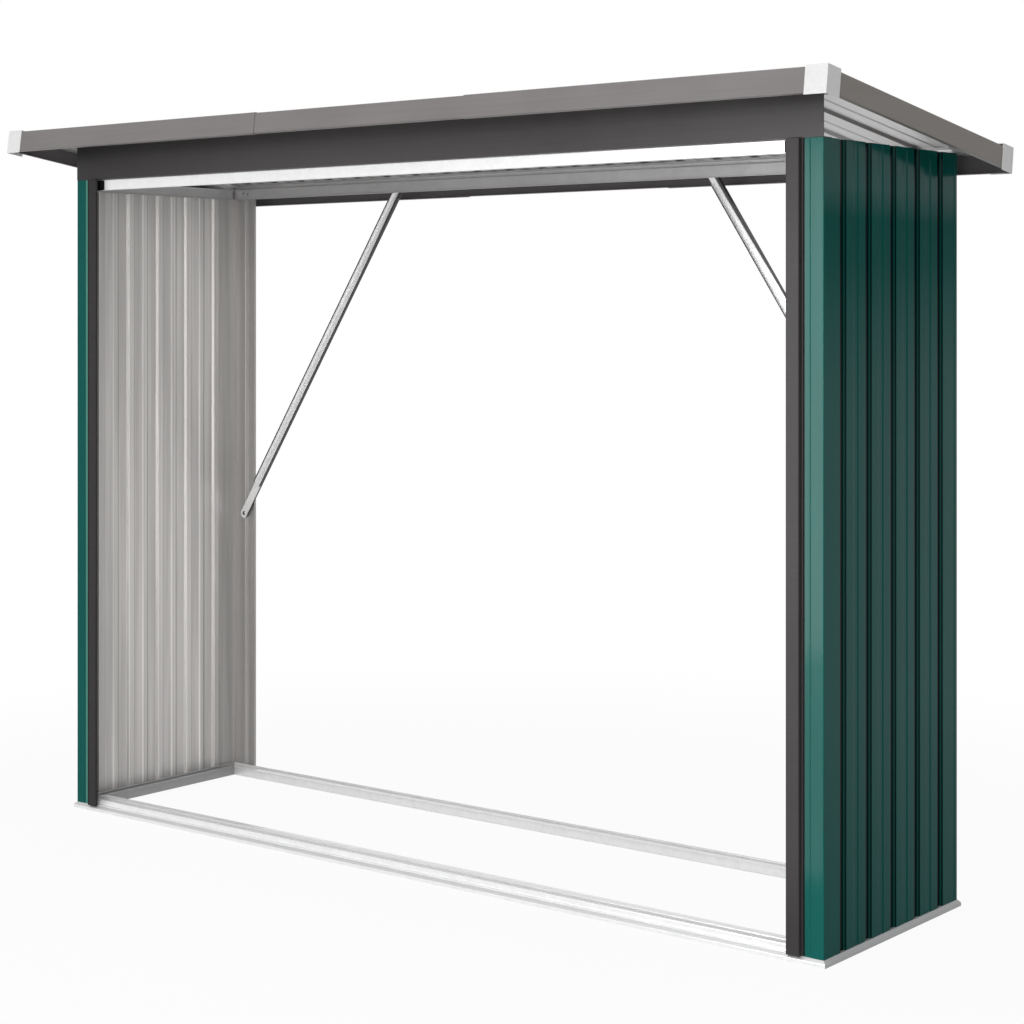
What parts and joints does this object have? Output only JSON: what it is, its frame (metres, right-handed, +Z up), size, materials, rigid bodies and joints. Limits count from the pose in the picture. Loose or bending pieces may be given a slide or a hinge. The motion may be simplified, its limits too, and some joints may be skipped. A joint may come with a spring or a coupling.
{
  "type": "log store",
  "caption": "Open-fronted sheet-steel log store with ribbed side walls on a folded base frame, a braced open back and a ribbed tray roof that slopes to the rear.",
  "frame": {"origin": "on the ground, under the middle of the roof tray", "axes": "+X to the right as seen from the open front, +Y from the front to the rear, +Z up"},
  "size_m": [2.3428, 0.7756, 1.7008],
  "materials": {
    "green_paint": "satin coil coating, dark green outside and grey inside",
    "anthracite_paint": "satin coil coating",
    "grey_trim": "satin coil coating",
    "galvanised": "bright zinc",
    "cap_white": "smooth moulded"
  },
  "bodies": {
    "root": {"front_base_rail": "galvanised", "rear_base_rail": "galvanised", "left_base_rail": "galvanised", "right_base_rail": "galvanised", "left_wall_sheet": "green_paint", "right_wall_sheet": "green_paint", "left_front_corner": "green_paint", "right_front_corner": "green_paint", "left_rear_return": "green_paint", "right_rear_return": "green_paint", "left_front_post": "anthracite_paint", "right_front_post": "anthracite_paint", "front_header": "anthracite_paint", "front_top_rail": "galvanised", "rear_top_rail": "galvanised", "left_top_rail": "galvanised", "right_top_rail": "galvanised", "left_rear_brace": "galvanised", "right_rear_brace": "galvanised", "left_roof_sheet": "galvanised", "middle_roof_sheet": "galvanised", "right_roof_sheet": "galvanised", "left_fascia": "grey_trim", "right_fascia": "grey_trim", "front_fascia_left": "grey_trim", "front_fascia_middle": "grey_trim", "front_fascia_right": "grey_trim", "rear_fascia_left": "grey_trim", "rear_fascia_middle": "grey_trim", "rear_fascia_right": "grey_trim", "front_left_cap": "cap_white", "front_right_cap": "cap_white", "rear_left_cap": "cap_white", "rear_right_cap": "cap_white"}
  },
  "joints": []
}
